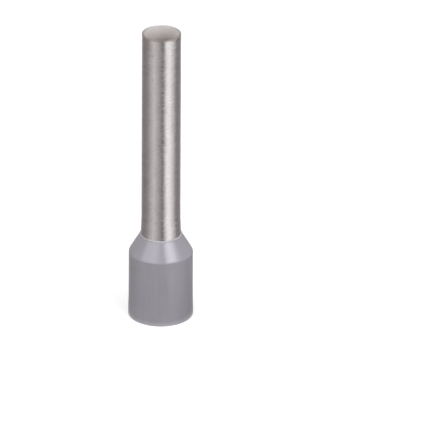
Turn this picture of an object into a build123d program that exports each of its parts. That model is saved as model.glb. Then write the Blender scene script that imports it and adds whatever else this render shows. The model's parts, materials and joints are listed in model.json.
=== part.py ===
from build123d import *
import os
from math import cos, radians, tan

# Insulated wire ferrule for 4 mm2 stranded wire: a thin tinned copper sleeve, flared at its root, and a moulded
# collar that is pressed onto the flare. The origin is the centre of the collar's mouth, where the wire goes in,
# and +Z runs along the axis to the tip of the sleeve. All lengths are in millimetres.

# Sleeve
SLEEVE_BORE = 2.8
SLEEVE_WALL = 0.2
SLEEVE_LENGTH = 18.0
TIP_ROUNDING = 0.06

# Root of the sleeve, which swells a little as it enters the collar and opens into a funnel behind it
SWELL = 0.06
SWELL_LENGTH = 1.5
SWELL_CURVE_RADIUS = 10.0
BEND_RADIUS = 0.3
FUNNEL_RIM_CLEARANCE = 0.08

# Collar
COLLAR_LENGTH = 7.28
COLLAR_DIAMETER = 5.25
COLLAR_WALL = 0.35
SHOULDER_HALF_ANGLE = 30.0
SHOULDER_ROUNDING = 0.3
BORE_ROUNDING = 0.12

# Lip of the collar, a thin ring round the sleeve at the top of the shoulder
LIP_WIDTH = 0.08
LIP_HEIGHT = 0.1
LIP_ROUNDING = 0.07
NECK_CLEARANCE = 0.01

# Mouth of the collar, which widens a little on the outside
MOUTH_FLARE = 0.04
MOUTH_FLARE_LENGTH = 1.6
MOUTH_ROUNDING = 0.08

# The rounded edges of a wall or land take at most this share of it
ROUNDING_SHARE = 0.9

# Radii that follow from the driving dimensions
bore_radius = SLEEVE_BORE / 2
sleeve_radius = bore_radius + SLEEVE_WALL
root_radius = sleeve_radius + SWELL
neck_radius = root_radius + NECK_CLEARANCE
lip_radius = neck_radius + LIP_WIDTH
collar_radius = COLLAR_DIAMETER / 2
collar_bore_radius = collar_radius - COLLAR_WALL
mouth_radius = collar_radius + MOUTH_FLARE
funnel_radius = collar_bore_radius - FUNNEL_RIM_CLEARANCE

# Heights above the mouth
tip_height = COLLAR_LENGTH + SLEEVE_LENGTH
swell_height = COLLAR_LENGTH + SWELL_LENGTH
shoulder_top = COLLAR_LENGTH - LIP_HEIGHT


def eased(rounding, land, edges):
    """A rounding, held to what its land can take with this many of its edges rounded."""
    return min(rounding, ROUNDING_SHARE * land / edges)


def shoulder_height(radius, depth=0.0):
    """Height at which a cone parallel to the shoulder, this deep below its surface, has this radius."""
    slope = tan(radians(SHOULDER_HALF_ANGLE))
    return shoulder_top - (radius + depth / cos(radians(SHOULDER_HALF_ANGLE)) - lip_radius) / slope


def turned(outline):
    """Solid of revolution about Z from the corners of its half section, each (radius, height, rounding)."""
    section = make_face(Polyline(*[(radius, height) for radius, height, _ in outline], close=True))
    for radius, height, rounding in outline:
        if rounding > 0:
            corner = section.vertices().sort_by_distance((radius, height))[0]
            section = fillet(corner, rounding)
    return revolve(Plane.XZ * section, Axis.Z)


def metal_sleeve():
    """Drawn tube with an even wall, from the cut tip down to the funnel that seats on the collar's inner cone."""
    seat = COLLAR_WALL
    inside = COLLAR_WALL + SLEEVE_WALL
    inner_root_radius = root_radius - SLEEVE_WALL
    edge = eased(TIP_ROUNDING, SLEEVE_WALL, 2)
    # the funnel's rim is cut square to its wall, and only its inner edge is eased, where the strands pass
    rim_run = SLEEVE_WALL * cos(radians(SHOULDER_HALF_ANGLE))
    inner_rim_radius = funnel_radius - rim_run
    outer_side = [
        (sleeve_radius, tip_height, edge),
        (sleeve_radius, swell_height, SWELL_CURVE_RADIUS),
        (root_radius, COLLAR_LENGTH, 0),
        (root_radius, shoulder_height(root_radius, seat), BEND_RADIUS),
        (funnel_radius, shoulder_height(funnel_radius, seat), 0),
    ]
    inner_side = [
        (inner_rim_radius, shoulder_height(inner_rim_radius, inside), edge),
        (inner_root_radius, shoulder_height(inner_root_radius, inside), BEND_RADIUS + SLEEVE_WALL),
        (inner_root_radius, COLLAR_LENGTH, 0),
        (bore_radius, swell_height, SWELL_CURVE_RADIUS + SLEEVE_WALL),
        (bore_radius, tip_height, edge),
    ]
    return turned(outer_side + inner_side)


def insulating_collar():
    """Moulded collar: a lip round the sleeve, a conical shoulder and a straight skirt with an even wall."""
    lip_edge = eased(LIP_ROUNDING, min(LIP_WIDTH, LIP_HEIGHT), 1)
    mouth_edge = eased(MOUTH_ROUNDING, COLLAR_WALL, 2)
    outer_side = [
        (lip_radius, COLLAR_LENGTH, lip_edge),
        (lip_radius, shoulder_top, 0),
        (collar_radius, shoulder_height(collar_radius), SHOULDER_ROUNDING),
        (collar_radius, MOUTH_FLARE_LENGTH, 0),
        (mouth_radius, 0, mouth_edge),
    ]
    inner_side = [
        (collar_bore_radius, 0, mouth_edge),
        (collar_bore_radius, shoulder_height(collar_bore_radius, COLLAR_WALL), BORE_ROUNDING),
        (neck_radius, shoulder_height(neck_radius, COLLAR_WALL), BEND_RADIUS),
        (neck_radius, COLLAR_LENGTH, 0),
    ]
    return turned(outer_side + inner_side)


os.makedirs("parts", exist_ok=True)
export_step(metal_sleeve(), "parts/metal_sleeve.step")
export_step(insulating_collar(), "parts/insulating_collar.step")
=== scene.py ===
# %% [markdown]
# # A wire ferrule
# A wire ferrule is a thin metal sleeve for the end of a stranded wire. The bare strands go into the
# sleeve, and a crimping tool presses it flat round them. The plastic collar at its root guides the
# strands in and covers the end of the wire's insulation.
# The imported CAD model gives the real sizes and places, so it is loaded first and never moved. One
# Blender unit is a metre, which makes this a very small scene: the whole part is 25 mm tall.

# %% The frame and the tools
import json
from math import cos, degrees, pi, radians, sin, tan

import bmesh
import bpy
from mathutils import Matrix, Vector


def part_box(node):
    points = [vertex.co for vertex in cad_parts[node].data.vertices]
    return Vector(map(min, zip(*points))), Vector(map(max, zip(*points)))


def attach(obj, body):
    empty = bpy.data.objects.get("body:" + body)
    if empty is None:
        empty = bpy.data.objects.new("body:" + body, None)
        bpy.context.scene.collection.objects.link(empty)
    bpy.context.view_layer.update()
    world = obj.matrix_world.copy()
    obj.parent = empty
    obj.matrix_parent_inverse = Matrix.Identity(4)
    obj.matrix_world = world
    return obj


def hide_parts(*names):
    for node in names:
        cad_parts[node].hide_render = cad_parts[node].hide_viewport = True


MM = 0.001
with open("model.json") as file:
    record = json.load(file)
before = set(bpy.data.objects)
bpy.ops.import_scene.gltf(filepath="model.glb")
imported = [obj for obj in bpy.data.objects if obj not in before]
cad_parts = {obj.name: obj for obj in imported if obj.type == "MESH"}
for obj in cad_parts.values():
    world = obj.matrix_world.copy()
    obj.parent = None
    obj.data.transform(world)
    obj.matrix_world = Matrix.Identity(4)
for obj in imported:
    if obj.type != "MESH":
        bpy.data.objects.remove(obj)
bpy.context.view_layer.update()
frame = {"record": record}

# %% [markdown]
# ## Sizes
# A size that the CAD model carries is read from it, so that the looks follow the part when it is
# resized: a node's box gives its reach, and a mount in the record gives the radius of the hole or pin
# that it stands for.
# Walls, slopes and roundings have no mount. They are written here in millimetres, as on a drawing.

# %% Sizes read from the frame
mounts = {mount["name"]: mount["dims"] for mount in frame["record"]["mounts"]}
bore_radius = mounts["wire_bore"]["r_mm"] * MM
sleeve_radius = mounts["sleeve_outside"]["r_mm"] * MM
collar_bore_radius = mounts["insulation_bore"]["r_mm"] * MM
tip_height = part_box("metal_sleeve")[1].z
collar_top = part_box("insulating_collar")[1].z
print("in mm: bore radius", bore_radius / MM, "sleeve radius", sleeve_radius / MM)
print("in mm: top of the collar", round(collar_top / MM, 3), "tip", round(tip_height / MM, 3))

# %% Sizes from the drawing
SLEEVE_WALL = 0.2 * MM
CUT_EDGE = 0.06 * MM
SWELL = 0.06 * MM
SWELL_LENGTH = 1.5 * MM
SWELL_CURVE_RADIUS = 10 * MM
FUNNEL_BEND = 0.3 * MM
FUNNEL_CLEARANCE = 0.08 * MM
COLLAR_WALL = 0.35 * MM
SHOULDER_HALF_ANGLE = radians(30)
SHOULDER_ROUNDING = 0.3 * MM
COLLAR_BORE_ROUNDING = 0.12 * MM
LIP_WIDTH = 0.08 * MM
LIP_HEIGHT = 0.1 * MM
LIP_ROUNDING = 0.07 * MM
NECK_CLEARANCE = 0.01 * MM
MOUTH_FLARE = 0.04 * MM
MOUTH_FLARE_LENGTH = 1.6 * MM
MOUTH_ROUNDING = 0.08 * MM

root_radius = sleeve_radius + SWELL
neck_radius = root_radius + NECK_CLEARANCE
lip_radius = neck_radius + LIP_WIDTH
collar_radius = collar_bore_radius + COLLAR_WALL
mouth_radius = collar_radius + MOUTH_FLARE
funnel_radius = collar_bore_radius - FUNNEL_CLEARANCE
swell_height = collar_top + SWELL_LENGTH
shoulder_top = collar_top - LIP_HEIGHT
print("collar", round(2 * collar_radius / MM, 3), "mm across, mouth", round(2 * mouth_radius / MM, 3))

# %% [markdown]
# ## How the two pieces are made
# Both real pieces are round: the sleeve is drawn from tube and flared on a cone, and the collar is
# moulded round a pin. So each one is turned here as on a lathe. Its half section is a loop of a few
# corners, each corner is rounded with a bevel, and the loop is spun once round the axis.
# A bevel of one corner runs from a point before the corner to a point after it. For an arc of a known
# radius that distance is the radius times the tangent of half the turn, which is what a draughtsman
# uses for a fillet.
# Smooth shading averages the normals of neighbouring faces. On a long wall beside a small rounding
# that average would tilt the whole wall, and a shiny surface shows it at once. So each straight run
# gets one extra point close to each of its ends, and the average stays in that narrow strip.


# %% Two helpers for turned shapes
def spin_round(shape, steps, sweep=2 * pi):
    """Spins all of a bmesh round Z. A full turn closes on itself."""
    bmesh.ops.spin(
        shape,
        geom=shape.verts[:] + shape.edges[:],
        cent=(0, 0, 0),
        axis=(0, 0, 1),
        angle=sweep,
        steps=steps,
        use_merge=sweep == 2 * pi,
    )


def object_from(name, shape):
    """An object at the origin that holds the bmesh as its mesh. The bmesh is freed."""
    mesh = bpy.data.meshes.new(name)
    shape.to_mesh(mesh)
    shape.free()
    item = bpy.data.objects.new(name, mesh)
    bpy.context.scene.collection.objects.link(item)
    return item


# %% A lathe for half sections
STEPS_ROUND = 160
DEGREES_PER_SEGMENT = 9
FEWEST_SEGMENTS = 4
SUPPORT_STRIP = 0.012 * MM
SHORTEST_RUN = 3 * SUPPORT_STRIP
MERGE_DISTANCE = 0.0001 * MM


def turned_piece(name, corners):
    """Turns a half section round Z. Each corner is (radius, height, rounding), going round it."""
    section = bmesh.new()
    points = [Vector((radius, 0, height)) for radius, height, rounding in corners]
    verts = [section.verts.new(point) for point in points]
    for start, end in zip(verts, verts[1:] + verts[:1]):
        section.edges.new((start, end))
    for index, (radius, height, rounding) in enumerate(corners):
        before = points[index] - points[index - 1]
        after = points[(index + 1) % len(points)] - points[index]
        turn = before.angle(after)
        if rounding:
            bmesh.ops.bevel(
                section,
                geom=[verts[index]],
                offset=rounding * tan(turn / 2),
                offset_type="OFFSET",
                segments=max(FEWEST_SEGMENTS, round(degrees(turn) / DEGREES_PER_SEGMENT)),
                profile=0.5,
                affect="VERTICES",
                material=-1,
            )
    for run in [edge for edge in section.edges if edge.calc_length() > SHORTEST_RUN]:
        share = SUPPORT_STRIP / run.calc_length()
        for end in run.verts[:]:
            bmesh.utils.edge_split(run, end, share)
    spin_round(section, STEPS_ROUND)
    bmesh.ops.remove_doubles(section, verts=section.verts, dist=MERGE_DISTANCE)
    bmesh.ops.recalc_face_normals(section, faces=section.faces)
    for face in section.faces:
        face.smooth = True
    volume = section.calc_volume(signed=True) / MM**3
    piece = object_from(name, section)
    print(name, len(piece.data.polygons), "faces,", round(volume, 2), "mm3")
    return piece


def shoulder_height(radius, depth=0.0):
    """Height of the shoulder's slope at a radius, or of a slope that lies this far inside it."""
    slope = tan(SHOULDER_HALF_ANGLE)
    return shoulder_top - (radius + depth / cos(SHOULDER_HALF_ANGLE) - lip_radius) / slope


# %% [markdown]
# ## The sleeve
# The sleeve is thin copper tube with a bright tin coat. Behind the collar's neck it opens into a
# funnel, which holds the collar and leads the strands in. Just above the collar it still swells a
# little from that flaring. A shiny tube shows every change of its curve as a bend in the reflections,
# so the swell gets its true radius of 10 mm and not a few short slopes.

# %% The sleeve as a turned piece
inner_root = root_radius - SLEEVE_WALL
inner_funnel = funnel_radius - SLEEVE_WALL * cos(SHOULDER_HALF_ANGLE)
inner_depth = COLLAR_WALL + SLEEVE_WALL
sleeve = turned_piece(
    "tinned_sleeve",
    [
        (sleeve_radius, tip_height, CUT_EDGE),
        (sleeve_radius, swell_height, SWELL_CURVE_RADIUS),
        (root_radius, collar_top, 0),
        (root_radius, shoulder_height(root_radius, COLLAR_WALL), FUNNEL_BEND),
        (funnel_radius, shoulder_height(funnel_radius, COLLAR_WALL), 0),
        (inner_funnel, shoulder_height(inner_funnel, inner_depth), CUT_EDGE),
        (inner_root, shoulder_height(inner_root, inner_depth), FUNNEL_BEND + SLEEVE_WALL),
        (inner_root, collar_top, 0),
        (bore_radius, swell_height, SWELL_CURVE_RADIUS + SLEEVE_WALL),
        (bore_radius, tip_height, CUT_EDGE),
    ],
)

# %% [markdown]
# ## The collar
# The collar is a short moulded tube with a conical shoulder. A thin lip of flash stands round the
# sleeve where the mould closed on the pin, and the mouth opens by a few hundredths, which gives the
# foot its slightly wider rim. The lathe makes it in the same way, from its own nine corners.

# %% The collar as a turned piece
collar = turned_piece(
    "moulded_collar",
    [
        (lip_radius, collar_top, LIP_ROUNDING),
        (lip_radius, shoulder_top, 0),
        (collar_radius, shoulder_height(collar_radius), SHOULDER_ROUNDING),
        (collar_radius, MOUTH_FLARE_LENGTH, 0),
        (mouth_radius, 0, MOUTH_ROUNDING),
        (collar_bore_radius, 0, MOUTH_ROUNDING),
        (collar_bore_radius, shoulder_height(collar_bore_radius, COLLAR_WALL), COLLAR_BORE_ROUNDING),
        (neck_radius, shoulder_height(neck_radius, COLLAR_WALL), FUNNEL_BEND),
        (neck_radius, collar_top, 0),
    ],
)

# %% [markdown]
# ## Each piece in its place
# The turned pieces take the place of the CAD solids of the same sizes. Each one rides on the root body
# and hides the node it stands for. The slot of the record that gives its finish is listed beside it, but
# nothing reads it.

# %% Each piece in its place on the frame
for piece, node, slot in (
    (sleeve, "metal_sleeve", "tinned_copper"),
    (collar, "insulating_collar", "grey_polypropylene"),
):
    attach(piece, "root")
    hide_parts(node)
    print(piece.name, "stands for", node)

# %% [markdown]
# ## Materials
# Each material is a small tree of nodes that reads Object coordinates, which are metres on the part. A
# pattern's scale is then one over its real size. One helper adds a node, one turns an sRGB hex colour,
# as read from a colour picker, into the linear values that Blender's sockets take, and one starts a
# material with an empty tree.


# %% Three helpers for every material
def linear(hex_colour):
    """The linear colour, with an alpha of 1, for an sRGB colour such as #C0C0C0."""
    channels = [int(hex_colour[start : start + 2], 16) / 255 for start in (1, 3, 5)]
    return [c / 12.92 if c <= 0.04045 else ((c + 0.055) / 1.055) ** 2.4 for c in channels] + [1.0]


def add_node(tree, kind, settings=None, links=None):
    """Adds a node. A setting goes to the property or else the input of that name, a link to an input."""
    node = tree.nodes.new(kind)
    for name, value in (settings or {}).items():
        if isinstance(name, str) and hasattr(node, name):
            setattr(node, name, value)
        else:
            node.inputs[name].default_value = value
    for name, source in (links or {}).items():
        tree.links.new(source, node.inputs[name])
    return node


def new_material(name):
    """A material with an empty tree, and that tree."""
    material = bpy.data.materials.new(name)
    material.use_nodes = True
    material.node_tree.nodes.clear()
    return material, material.node_tree


# %% [markdown]
# ## Tinned copper
# The sleeve is drawn copper tube, electroplated with tin. To the eye that is a satin silver, a little
# warmer than steel. The thin coat follows the drawing marks below it: fine lines and short dashes that
# run round the tube. Small matt patches and soft clouds are duller, a few pits are dark, and long
# shallow waves bend the edges of the reflections.
# A painted picture of a tube would fix all of that at one size. Noise gives it on a tube of any size
# and from any side, so each kind of mark gets a noise of its own, at the scale of the real mark.

# %% Tinned copper: its marks as noise
DRAWING_LINES = 0.16 * MM
DRAWING_DASHES = 0.15 * MM
DASH_STRETCH = 0.3
DASH_SHARE = 0.6
TIN_PATCHES = 0.3 * MM
PATCH_SQUASH = 2.5
TIN_CLOUDS = 1.5 * MM
LONG_WAVES = 2.8 * MM
PIT_GRAIN = 0.2 * MM
tinned_copper, tree = new_material("tinned_copper_drawn_and_plated")
place = add_node(tree, "ShaderNodeTexCoord").outputs["Object"]
axes = add_node(tree, "ShaderNodeSeparateXYZ", links={0: place})

# Drawing lines are noise that only changes with height. Dashes are noise drawn out round the tube. The
# real ones are a few hundredths of a millimetre apart and would vanish in the picture, so both are
# drawn about four times as coarse.
lines = add_node(
    tree,
    "ShaderNodeTexNoise",
    {"noise_dimensions": "1D", "Scale": 1 / DRAWING_LINES, "Detail": 2},
    {"W": axes.outputs["Z"]},
)
round_the_tube = add_node(
    tree,
    "ShaderNodeMapping",
    {"Scale": (DASH_STRETCH, DASH_STRETCH, 1)},
    {"Vector": place},
)
dashes = add_node(
    tree,
    "ShaderNodeTexNoise",
    {"Scale": 1 / DRAWING_DASHES, "Detail": 2},
    {"Vector": round_the_tube.outputs[0]},
)
lines_and_dashes = add_node(
    tree,
    "ShaderNodeMix",
    {"data_type": "FLOAT", 0: DASH_SHARE},
    {2: lines.outputs["Fac"], 3: dashes.outputs["Fac"]},
)

# Patches lie flat on the tube: they are wider than they are tall, as the marks below them are.
flat_on_tube = add_node(tree, "ShaderNodeMapping", {"Scale": (1, 1, PATCH_SQUASH)}, {"Vector": place})
patches = add_node(
    tree,
    "ShaderNodeTexNoise",
    {"Scale": 1 / TIN_PATCHES, "Detail": 3},
    {"Vector": flat_on_tube.outputs[0]},
)
clouds = add_node(tree, "ShaderNodeTexNoise", {"Scale": 1 / TIN_CLOUDS, "Detail": 1}, {"Vector": place})
waves = add_node(tree, "ShaderNodeTexNoise", {"Scale": 1 / LONG_WAVES, "Detail": 1}, {"Vector": place})
pits = add_node(
    tree,
    "ShaderNodeTexNoise",
    {"Scale": 1 / PIT_GRAIN, "Detail": 3, "Roughness": 0.7},
    {"Vector": place},
)
print("marks of the tin:", len(tree.nodes), "nodes")

# %% [markdown]
# ## The colour of the tin
# A metal has almost no colour of its own apart from what it mirrors, so these greys are close to each
# other and to white. A noise hovers round a half. To make separate marks of it, a Map Range node keeps
# only the part of the noise above a threshold, and the two values of the threshold say how soft a
# mark's edge is.

# %% Tinned copper: its colour
MARK_START = 0.44
MARK_FULL = 0.56
PIT_START = 0.56
PIT_FULL = 0.7
PIT_DARKNESS = 0.15

# Plain tin is nearly white. It is greyer in the matt patches, and again under the clouds.
tin = add_node(
    tree,
    "ShaderNodeMix",
    {"data_type": "RGBA", 6: linear("#FDF8F8"), 7: linear("#EAE4E4")},
    {0: patches.outputs["Fac"]},
)
clouded_tin = add_node(
    tree,
    "ShaderNodeMix",
    {"data_type": "RGBA", "blend_type": "MULTIPLY", 7: linear("#E0E0E0")},
    {0: clouds.outputs["Fac"], 6: tin.outputs[2]},
)

# The lines and dashes hold a little dirt and oxide.
marks = add_node(
    tree,
    "ShaderNodeMapRange",
    {"From Min": MARK_START, "From Max": MARK_FULL},
    {"Value": lines_and_dashes.outputs[0]},
)
marked_tin = add_node(
    tree,
    "ShaderNodeMix",
    {"data_type": "RGBA", 7: linear("#E7E2E1")},
    {0: marks.outputs[0], 6: clouded_tin.outputs[2]},
)

# Each pit is a dark point.
pit_mask = add_node(
    tree,
    "ShaderNodeMapRange",
    {"From Min": PIT_START, "From Max": PIT_FULL, "To Max": PIT_DARKNESS},
    {"Value": pits.outputs["Fac"]},
)
pitted = add_node(
    tree,
    "ShaderNodeMix",
    {"data_type": "RGBA", 7: linear("#7C7674")},
    {0: pit_mask.outputs[0], 6: marked_tin.outputs[2]},
)
print("with the tin's colour:", len(tree.nodes), "nodes")

# %% [markdown]
# ## The bore
# The bore's colour is painted darker and warmer with depth below the tip: painted shade inside the
# narrow tube. Its coat is also coarse, and scatters part of the light as a powder does.
# The bore needs no material of its own, because a place can be told from its coordinates: it is inside
# where the distance from the axis is less than the middle of the wall, and deep where it is far below
# the tip. Both work as masks, and the two finishes stay in one tree.

# %% Tinned copper: the bore
BORE_SHADE_DEPTH = 1.6 * MM
BORE_SHADE_CURVE = 0.85
wall_middle = sleeve_radius - SLEEVE_WALL / 2
across = add_node(tree, "ShaderNodeVectorMath", {"operation": "MULTIPLY", 1: (1, 1, 0)}, {0: place})
radius = add_node(tree, "ShaderNodeVectorMath", {"operation": "LENGTH"}, {0: across.outputs[0]})
inside = add_node(
    tree,
    "ShaderNodeMath",
    {"operation": "LESS_THAN", 1: wall_middle},
    {0: radius.outputs["Value"]},
)
depth = add_node(
    tree,
    "ShaderNodeMapRange",
    {"From Min": tip_height, "From Max": tip_height - BORE_SHADE_DEPTH},
    {"Value": axes.outputs["Z"]},
)
# A power just below 1 lets the painted shade deepen a little faster near the tip than further down.
painted_shade_depth = add_node(tree, "ShaderNodeMath", {"operation": "POWER", 1: BORE_SHADE_CURVE}, {0: depth.outputs[0]})
# Painted shade: the bore's colour darkens with depth below the tip.
bore_tin_painted_shade = add_node(
    tree,
    "ShaderNodeMix",
    {"data_type": "RGBA", 6: linear("#F7F6F2"), 7: linear("#C7BDB7")},
    {0: painted_shade_depth.outputs[0]},
)
inner_tin = add_node(
    tree,
    "ShaderNodeMix",
    {"data_type": "RGBA"},
    {0: inside.outputs[0], 6: pitted.outputs[2], 7: bore_tin_painted_shade.outputs[2]},
)
print("with the bore:", len(tree.nodes), "nodes")

# %% [markdown]
# ## The cut edge
# The tip is cut off by shearing after plating, and bare copper shows in one spot in front. The edge's
# colour is painted light at the back and painted shade in front.
# The edge is the last few hundredths below the tip. Along it the colour changes from painted light at
# the back to painted shade at the front, and the copper is a soft spot round one point of the rim.

# %% Tinned copper: the cut edge
CUT_FADE = 1.5 * CUT_EDGE
FRONT_SHADE_FULL = -0.4 * MM
COPPER_TEAR = 0.45 * MM
cut = add_node(
    tree,
    "ShaderNodeMapRange",
    {"From Min": tip_height - CUT_FADE, "From Max": tip_height - CUT_EDGE},
    {"Value": axes.outputs["Z"]},
)
# Painted light and shade: the cut edge is lighter at the back and darker at the front.
back_light_front_shade = add_node(
    tree,
    "ShaderNodeMapRange",
    {"From Min": sleeve_radius, "From Max": FRONT_SHADE_FULL},
    {"Value": axes.outputs["Y"]},
)
cut_edge_painted_light = add_node(
    tree,
    "ShaderNodeMix",
    {"data_type": "RGBA", 6: linear("#D2CECC"), 7: linear("#968F8B")},
    {0: back_light_front_shade.outputs[0]},
)
from_the_tear = add_node(
    tree,
    "ShaderNodeVectorMath",
    {"operation": "DISTANCE", 1: (0, -wall_middle, tip_height)},
    {0: place},
)
copper_mask = add_node(
    tree,
    "ShaderNodeMapRange",
    {"From Min": COPPER_TEAR, "From Max": 0},
    {"Value": from_the_tear.outputs["Value"]},
)
cut_metal = add_node(
    tree,
    "ShaderNodeMix",
    {"data_type": "RGBA", 7: linear("#776A63")},
    {0: copper_mask.outputs[0], 6: cut_edge_painted_light.outputs[2]},
)
tin_colour = add_node(
    tree,
    "ShaderNodeMix",
    {"data_type": "RGBA"},
    {0: cut.outputs[0], 6: inner_tin.outputs[2], 7: cut_metal.outputs[2]},
)
print("with the cut edge:", len(tree.nodes), "nodes")

# %% [markdown]
# ## Gloss and relief of the tin
# Plain tin between the marks is nearly a mirror, and the marks are satin. The bore and the cut are
# matt. Tin is a metal all through, but the bore's coarse coat scatters part of the light, and a
# metallic value below 1 stands for that.
# The relief is three bumps in a row, each one on top of the last: the long waves carry the edges of the
# reflections with them, and the patches and lines break them up.

# %% Tinned copper: gloss and relief
SMOOTH_TIN = 0.05
MARKED_TIN = 0.265
MATT_TIN = 0.66
BORE_METALLIC = 0.7
WAVE_RELIEF = 0.08 * MM
PATCH_RELIEF = 0.013 * MM
LINE_RELIEF = 0.005 * MM
outer_roughness = add_node(
    tree,
    "ShaderNodeMapRange",
    {"To Min": SMOOTH_TIN, "To Max": MARKED_TIN},
    {"Value": marks.outputs[0]},
)
matt = add_node(
    tree,
    "ShaderNodeMath",
    {"operation": "MAXIMUM"},
    {0: inside.outputs[0], 1: cut.outputs[0]},
)
tin_roughness = add_node(
    tree,
    "ShaderNodeMix",
    {"data_type": "FLOAT", 3: MATT_TIN},
    {0: matt.outputs[0], 2: outer_roughness.outputs[0]},
)
metallic = add_node(
    tree,
    "ShaderNodeMapRange",
    {"To Min": 1.0, "To Max": BORE_METALLIC},
    {"Value": inside.outputs[0]},
)
wave_bump = add_node(
    tree,
    "ShaderNodeBump",
    {"Strength": 1.0, "Distance": WAVE_RELIEF},
    {"Height": waves.outputs["Fac"]},
)
patch_bump = add_node(
    tree,
    "ShaderNodeBump",
    {"Strength": 1.0, "Distance": PATCH_RELIEF},
    {"Height": patches.outputs["Fac"], "Normal": wave_bump.outputs[0]},
)
line_bump = add_node(
    tree,
    "ShaderNodeBump",
    {"Strength": 1.0, "Distance": LINE_RELIEF},
    {"Height": lines_and_dashes.outputs[0], "Normal": patch_bump.outputs[0]},
)
metal = add_node(
    tree,
    "ShaderNodeBsdfPrincipled",
    links={
        "Base Color": tin_colour.outputs[2],
        "Metallic": metallic.outputs[0],
        "Roughness": tin_roughness.outputs[0],
        "Normal": line_bump.outputs[0],
    },
)
add_node(tree, "ShaderNodeOutputMaterial", links={"Surface": metal.outputs[0]})
sleeve.data.materials.append(tinned_copper)
print(tinned_copper.name, len(tree.nodes), "nodes")

# %% [markdown]
# ## Moulded polypropylene
# The collar is polypropylene, coloured grey all through. To the eye it is a soft satin, with faint
# streaks along the part where the plastic flowed. It was filled from the mouth, so fine flow lines run
# up the wall and in over the shoulder.
# Plain noise would give lines of one width from the wall to the lip. Here the noise is read on the unit
# circle, at the bearing of each point, so that the lines narrow with the cone as the real ones do. A
# little of the height is added, so that a line doesn't stay the same all the way up.

# %% Grey polypropylene: streaks and flow lines
FLOW_STREAKS = 1.2 * MM
STREAK_STRETCH = 0.25
FLOW_LINES_ROUND = 40
FLOW_LENGTH = 3.0 * MM
FLOW_LINE_SHARE = 0.5
lines_per_radian = FLOW_LINES_ROUND / pi
polypropylene, tree = new_material("grey_polypropylene_moulded")
place = add_node(tree, "ShaderNodeTexCoord").outputs["Object"]
along = add_node(tree, "ShaderNodeMapping", {"Scale": (1, 1, STREAK_STRETCH)}, {"Vector": place})
streaks = add_node(
    tree,
    "ShaderNodeTexNoise",
    {"Scale": 1 / FLOW_STREAKS, "Detail": 3},
    {"Vector": along.outputs[0]},
)
across = add_node(tree, "ShaderNodeVectorMath", {"operation": "MULTIPLY", 1: (1, 1, 0)}, {0: place})
bearing = add_node(tree, "ShaderNodeVectorMath", {"operation": "NORMALIZE"}, {0: across.outputs[0]})
slow_rise = add_node(
    tree,
    "ShaderNodeVectorMath",
    {"operation": "MULTIPLY", 1: (0, 0, 1 / FLOW_LENGTH)},
    {0: place},
)
flow_place = add_node(
    tree,
    "ShaderNodeVectorMath",
    {"operation": "MULTIPLY_ADD", 1: (lines_per_radian, lines_per_radian, 1)},
    {0: bearing.outputs[0], 2: slow_rise.outputs[0]},
)
flow_lines = add_node(
    tree,
    "ShaderNodeTexNoise",
    {"Scale": 1, "Detail": 2},
    {"Vector": flow_place.outputs[0]},
)
flow = add_node(
    tree,
    "ShaderNodeMix",
    {"data_type": "FLOAT", 0: FLOW_LINE_SHARE},
    {2: streaks.outputs["Fac"], 3: flow_lines.outputs["Fac"]},
)
grey = add_node(
    tree,
    "ShaderNodeMix",
    {"data_type": "RGBA", 6: linear("#87848A"), 7: linear("#9B989D")},
    {0: flow.outputs[0]},
)
print("streaks and flow lines:", len(tree.nodes), "nodes")

# %% [markdown]
# ## Edges painted lighter
# Two thin edges are painted lighter. The lip, which the sleeve's flare has pushed open, gets a painted
# highlight round its thin rounded edge, together with some whitening, as polypropylene whitens where it
# is bent. The rim of the mouth gets a little painted light, which stands in for light thrown up from
# the white floor. Two masks by height mark them, and the stronger one counts.

# %% Grey polypropylene: edges painted lighter
LIP_WHITENING_AND_HIGHLIGHT = 0.3
RIM_PAINTED_LIGHT = 0.25
RIM_HEIGHT = 0.45 * MM
height = add_node(tree, "ShaderNodeSeparateXYZ", links={0: place})
# Painted light: the lip gets a painted highlight with some whitening, the mouth's rim painted light from
# the floor.
lip_mask = add_node(
    tree,
    "ShaderNodeMapRange",
    {"From Min": shoulder_top, "From Max": collar_top, "To Max": LIP_WHITENING_AND_HIGHLIGHT},
    {"Value": height.outputs["Z"]},
)
rim_mask = add_node(
    tree,
    "ShaderNodeMapRange",
    {"From Min": RIM_HEIGHT, "From Max": 0, "To Max": RIM_PAINTED_LIGHT},
    {"Value": height.outputs["Z"]},
)
painted_edge_light_mask = add_node(
    tree,
    "ShaderNodeMath",
    {"operation": "MAXIMUM"},
    {0: lip_mask.outputs[0], 1: rim_mask.outputs[0]},
)
painted_lighter = add_node(
    tree,
    "ShaderNodeMix",
    {"data_type": "RGBA", 7: linear("#E2E0E2")},
    {0: painted_edge_light_mask.outputs[0], 6: grey.outputs[2]},
)
print("with whitened edges:", len(tree.nodes), "nodes")

# %% [markdown]
# ## Gloss and relief of the plastic
# The wall takes the fine spark-eroded texture of the mould, and the streaks vary its gloss a little.
# The mould's cone is polished, so that the part comes off it, which makes the shoulder glossier than
# the wall.
# The refractive index of polypropylene is 1.49. It starts from there and is raised to 1.55, which
# matches the strength of the highlight on the shoulder. A fine texture also throws some light back at
# a grazing view, which lightens the sides of the collar, and a little sheen stands for that.

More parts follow.
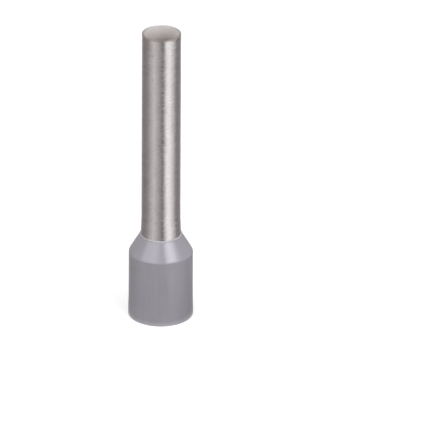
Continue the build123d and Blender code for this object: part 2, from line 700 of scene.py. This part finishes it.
# %% Grey polypropylene: gloss and relief
MOULD_TEXTURE = 0.12 * MM
TEXTURE_RELIEF = 0.0004 * MM
FLOW_RELIEF = 0.008 * MM
STREAK_LOW = 0.3
STREAK_HIGH = 0.7
WALL_GLOSSIEST = 0.29
WALL_DULLEST = 0.32
POLISHED_SHOULDER = 0.278
PLASTIC_IOR = 1.55
PLASTIC_SHEEN = 0.25
SHEEN_ROUGHNESS = 0.4
shoulder_foot = shoulder_height(collar_radius)
wall_roughness = add_node(
    tree,
    "ShaderNodeMapRange",
    {"From Min": STREAK_LOW, "From Max": STREAK_HIGH, "To Min": WALL_GLOSSIEST, "To Max": WALL_DULLEST},
    {"Value": streaks.outputs["Fac"]},
)
shoulder_mask = add_node(
    tree,
    "ShaderNodeMapRange",
    {"From Min": shoulder_foot - SHOULDER_ROUNDING, "From Max": shoulder_foot},
    {"Value": height.outputs["Z"]},
)
plastic_roughness = add_node(
    tree,
    "ShaderNodeMix",
    {"data_type": "FLOAT", 3: POLISHED_SHOULDER},
    {0: shoulder_mask.outputs[0], 2: wall_roughness.outputs[0]},
)
# The real texture is finer than the picture can show, so its grain is drawn several times as coarse.
texture = add_node(
    tree,
    "ShaderNodeTexNoise",
    {"Scale": 1 / MOULD_TEXTURE, "Detail": 2},
    {"Vector": place},
)
texture_bump = add_node(
    tree,
    "ShaderNodeBump",
    {"Strength": 1.0, "Distance": TEXTURE_RELIEF},
    {"Height": texture.outputs["Fac"]},
)
flow_bump = add_node(
    tree,
    "ShaderNodeBump",
    {"Strength": 1.0, "Distance": FLOW_RELIEF},
    {"Height": flow_lines.outputs["Fac"], "Normal": texture_bump.outputs[0]},
)
plastic = add_node(
    tree,
    "ShaderNodeBsdfPrincipled",
    {"IOR": PLASTIC_IOR, "Sheen Weight": PLASTIC_SHEEN, "Sheen Roughness": SHEEN_ROUGHNESS},
    {
        "Base Color": painted_lighter.outputs[2],
        "Roughness": plastic_roughness.outputs[0],
        "Normal": flow_bump.outputs[0],
    },
)
add_node(tree, "ShaderNodeOutputMaterial", links={"Surface": plastic.outputs[0]})
collar.data.materials.append(polypropylene)
print(polypropylene.name, len(tree.nodes), "nodes")

# %% [markdown]
# ## The floor and the room
# The ferrule stands on a plain white floor in a white room. The floor's own colour is a soft white that
# takes the part's shadow. More light would bleach the part, so the white that the camera sees comes
# from somewhere else: a Light Path node tells which rays come from the camera, a reflection or glass,
# and for those rays alone the floor glows a little more and the room is full white.


# %% Helpers for what stands round the part
def stage_object(name, shape, material):
    """An object that isn't part of the ferrule, such as a floor or a card."""
    item = object_from(name, shape)
    item.data.materials.append(material)
    return item


def seen_rays(tree):
    """1 for a ray of the camera, a reflection or glass, and 0 for the rays that light the part."""
    rays = add_node(tree, "ShaderNodeLightPath")
    seen = rays.outputs["Is Camera Ray"]
    for kind in ("Is Glossy Ray", "Is Transmission Ray"):
        either = add_node(
            tree,
            "ShaderNodeMath",
            {"operation": "MAXIMUM"},
            {0: seen, 1: rays.outputs[kind]},
        )
        seen = either.outputs[0]
    return seen


# %% Floor
FLOOR_RADIUS = 2.0
FLOOR_SEGMENTS = 64
FLOOR_LIFT = 0.45
white_floor, tree = new_material("floor_pale_board")
lift = add_node(tree, "ShaderNodeMath", {"operation": "MULTIPLY", 1: FLOOR_LIFT}, {0: seen_rays(tree)})
board = add_node(tree, "ShaderNodeBsdfDiffuse", {"Color": linear("#D9D9D8")})
glow = add_node(tree, "ShaderNodeEmission", links={"Strength": lift.outputs[0]})
both = add_node(tree, "ShaderNodeAddShader", links={0: board.outputs[0], 1: glow.outputs[0]})
add_node(tree, "ShaderNodeOutputMaterial", links={"Surface": both.outputs[0]})
disc = bmesh.new()
bmesh.ops.create_circle(disc, cap_ends=True, segments=FLOOR_SEGMENTS, radius=FLOOR_RADIUS)
floor = stage_object("floor", disc, white_floor)
print(floor.name, FLOOR_RADIUS, "m in radius")

# %% Room
ROOM_LIGHT = 0.28
WHITE = 1.0
world = bpy.data.worlds.new("white_room")
world.use_nodes = True
bpy.context.scene.world = world
tree = world.node_tree
tree.nodes.clear()
strength = add_node(
    tree,
    "ShaderNodeMix",
    {"data_type": "FLOAT", 2: ROOM_LIGHT, 3: WHITE},
    {0: seen_rays(tree)},
)
sky = add_node(tree, "ShaderNodeBackground", links={"Strength": strength.outputs[0]})
add_node(tree, "ShaderNodeOutputWorld", links={"Surface": sky.outputs[0]})
print("room light", ROOM_LIGHT)

# %% [markdown]
# ## A graded card round the foot
# A bright upright tube seen from above mirrors the floor all round it, and a white floor alone would
# make it white and shapeless. A product photographer lays grey card round such a part. Here it is one
# ring that only reflections see, with greys that change with the bearing: dark in front and at the
# sides, a broad soft white window to the right, a dimmer one to the left, and white straight behind.
# A point on the tube that faces an angle from the camera mirrors the floor at twice that angle.


# %% A ring on the floor
CARD_HEIGHT = 0.02 * MM


def floor_ring(inner, outer, steps, start=0.0, sweep=2 * pi):
    """A flat ring just above the floor, or a part of one.

    Bearing 0 is at the camera, and it grows to the right."""
    ring = bmesh.new()
    bearing = Vector((sin(start), -cos(start), 0))
    up = Vector((0, 0, CARD_HEIGHT))
    ends = [ring.verts.new(bearing * reach + up) for reach in (inner, outer)]
    ring.edges.new(ends)
    spin_round(ring, steps, sweep)
    return ring


# %% Graded card
CARD_INNER = 2.9 * MM
CARD_OUTER = 500 * MM
CARD_STEPS = 72
# The darker greys of the card are a little warm: they lose up to this share of green and blue.
CARD_WARMTH = 0.07
# Each stop is a bearing in degrees and the grey there.
CARD_GREYS = (
    (-180, 1.0),
    (-150, 0.42),
    (-125, 0.22),
    (-85, 0.28),
    (-41, 0.65),
    (10, 0.20),
    (34, 1.0),
    (50, 1.0),
    (96, 0.25),
    (125, 0.24),
    (150, 0.4),
    (180, 1.0),
)
graded_card, tree = new_material("graded_grey_card")
place = add_node(tree, "ShaderNodeTexCoord").outputs["Object"]
# Turned a quarter, so that the middle of the ramp, a bearing of 0, points at the camera.
facing = add_node(tree, "ShaderNodeMapping", {"Rotation": (0, 0, radians(90))}, {"Vector": place})
angle = add_node(tree, "ShaderNodeTexGradient", {"gradient_type": "RADIAL"}, {"Vector": facing.outputs[0]})
greys = add_node(tree, "ShaderNodeValToRGB", links={0: angle.outputs["Fac"]})
ramp = greys.color_ramp
ramp.interpolation = "LINEAR"
for index, (degrees_round, level) in enumerate(CARD_GREYS):
    position = degrees_round / 360 + 0.5
    # A new ramp has two stops already, and the rest are added.
    stop = ramp.elements[index] if index < 2 else ramp.elements.new(position)
    stop.position = position
    green_and_blue = level * (1 - CARD_WARMTH * (1 - level))
    stop.color = (level, green_and_blue, green_and_blue, 1)
glow = add_node(tree, "ShaderNodeEmission", links={"Color": greys.outputs["Color"]})
add_node(tree, "ShaderNodeOutputMaterial", links={"Surface": glow.outputs[0]})
card = stage_object("graded_card", floor_ring(CARD_INNER, CARD_OUTER, CARD_STEPS), graded_card)
card.visible_camera = False
card.visible_diffuse = False
card.visible_transmission = False
card.visible_shadow = False
print("card stops", [round(stop.position, 3) for stop in ramp.elements])

# %% [markdown]
# ## A flag at the right of the foot
# A white floor throws much light up at the foot of a standing part. A photographer lays a dark card
# there, a flag, on the side that should fall off into shade, here the right. The tin mirrors the graded
# card as before, so only the matt plastic loses that light.
# The flag has one side. Seen from below it is clear, so the floor under it stays as white as the rest.

# %% Flag
FLAG_START = radians(28)
FLAG_SWEEP = radians(50)
FLAG_INNER = 2.9 * MM
FLAG_OUTER = 8.5 * MM
FLAG_STEPS = 24
flag_card, tree = new_material("flag_dark_card")
side = add_node(tree, "ShaderNodeNewGeometry")
dark = add_node(tree, "ShaderNodeBsdfDiffuse", {"Color": linear("#54443C")})
clear = add_node(tree, "ShaderNodeBsdfTransparent")
one_sided = add_node(
    tree,
    "ShaderNodeMixShader",
    links={0: side.outputs["Backfacing"], 1: dark.outputs[0], 2: clear.outputs[0]},
)
add_node(tree, "ShaderNodeOutputMaterial", links={"Surface": one_sided.outputs[0]})
sector = floor_ring(FLAG_INNER, FLAG_OUTER, FLAG_STEPS, FLAG_START, FLAG_SWEEP)
flag = stage_object("flag", sector, flag_card)
flag.visible_camera = False
flag.visible_glossy = False
flag.visible_transmission = False
flag.visible_shadow = False
print("flag", round(degrees(FLAG_SWEEP)), "degrees wide, up:", flag.data.polygons[0].normal.z > 0)

# %% [markdown]
# ## Soft boxes
# Two large soft boxes stand in front, one each side of the camera, and a third hangs nearly overhead.
# They are near enough to be broad, so that shadows are soft. The right one is flat and bright, and
# draws the light stripe down the collar's shoulder. The left one is larger and dimmer, and gives the
# broad soft sheen beside it. Together with the room they light a white surface to about 1.
# A lamp's power says little about its look. The brightness of its face is its power over pi times its
# area, so each box is written down by its brightness and by the angles that it fills, and the power
# follows.


# %% Soft boxes
def soft_box(name, azimuth, elevation, distance, wide, tall, brightness, hex_colour):
    """A rectangle of light that faces the part. Azimuth 0 is at the camera, and grows to the right.

    wide and tall are the angles that it fills as the part sees it. All angles are in degrees."""
    lamp = bpy.data.lights.new(name, "AREA")
    lamp.shape = "RECTANGLE"
    lamp.size = 2 * distance * tan(radians(wide) / 2)
    lamp.size_y = 2 * distance * tan(radians(tall) / 2)
    lamp.energy = pi * brightness * lamp.size * lamp.size_y
    lamp.color = linear(hex_colour)[:3]
    box = bpy.data.objects.new(name, lamp)
    bpy.context.scene.collection.objects.link(box)
    round_angle = radians(azimuth)
    up_angle = radians(elevation)
    level = cos(up_angle) * distance
    box.location = (sin(round_angle) * level, -cos(round_angle) * level, sin(up_angle) * distance)
    box.rotation_euler = box.location.to_track_quat("Z", "Y").to_euler()
    box.visible_camera = False
    print(name, round(lamp.energy, 3), "W")


# Each row: name, azimuth, elevation, distance in metres, wide, tall, brightness, colour.
SOFT_BOXES = (
    ("soft_box_right", 48, 33, 0.6, 40, 9, 13.8, "#F6F5FF"),
    ("soft_box_left", -43, 33, 0.6, 60, 17, 3.3, "#F8F6FF"),
    ("soft_box_top", 0, 80, 0.7, 35, 35, 4.5, "#FFFFFF"),
)
for row in SOFT_BOXES:
    soft_box(*row)

# %% [markdown]
# ## The camera
# The picture was taken with a long lens from a little above, which shows in how slightly the tube
# narrows and how round its rim is. The rim's ellipse gives the angle: its height over its width is the
# sine of the elevation, 26 degrees. The point in the middle of the picture lies beside the part,
# because the part stands left of the middle.

# %% Camera
LENS = 1198.5
SENSOR_WIDTH = 36
CLIP_START = 0.1
CLIP_END = 10
CAMERA_DISTANCE = 1.2
CAMERA_ELEVATION = radians(26.1)
CAMERA_ROLL = radians(0.3)
MIDDLE_OF_PICTURE = Vector((4.937, -1.698, 9.134)) * MM
lens = bpy.data.cameras.new("long_lens")
lens.lens = LENS
lens.sensor_width = SENSOR_WIDTH
lens.clip_start = CLIP_START
lens.clip_end = CLIP_END
camera = bpy.data.objects.new("camera", lens)
bpy.context.scene.collection.objects.link(camera)
back = Vector((0, -cos(CAMERA_ELEVATION), sin(CAMERA_ELEVATION)))
tilt = Matrix.Rotation(pi / 2 - CAMERA_ELEVATION, 4, "X")
roll = Matrix.Rotation(CAMERA_ROLL, 4, "Z")
camera.matrix_world = Matrix.Translation(MIDDLE_OF_PICTURE + back * CAMERA_DISTANCE) @ tilt @ roll
bpy.context.scene.camera = camera
bpy.context.scene.view_settings.view_transform = "Standard"
print("camera at", [round(c, 4) for c in camera.matrix_world.translation])
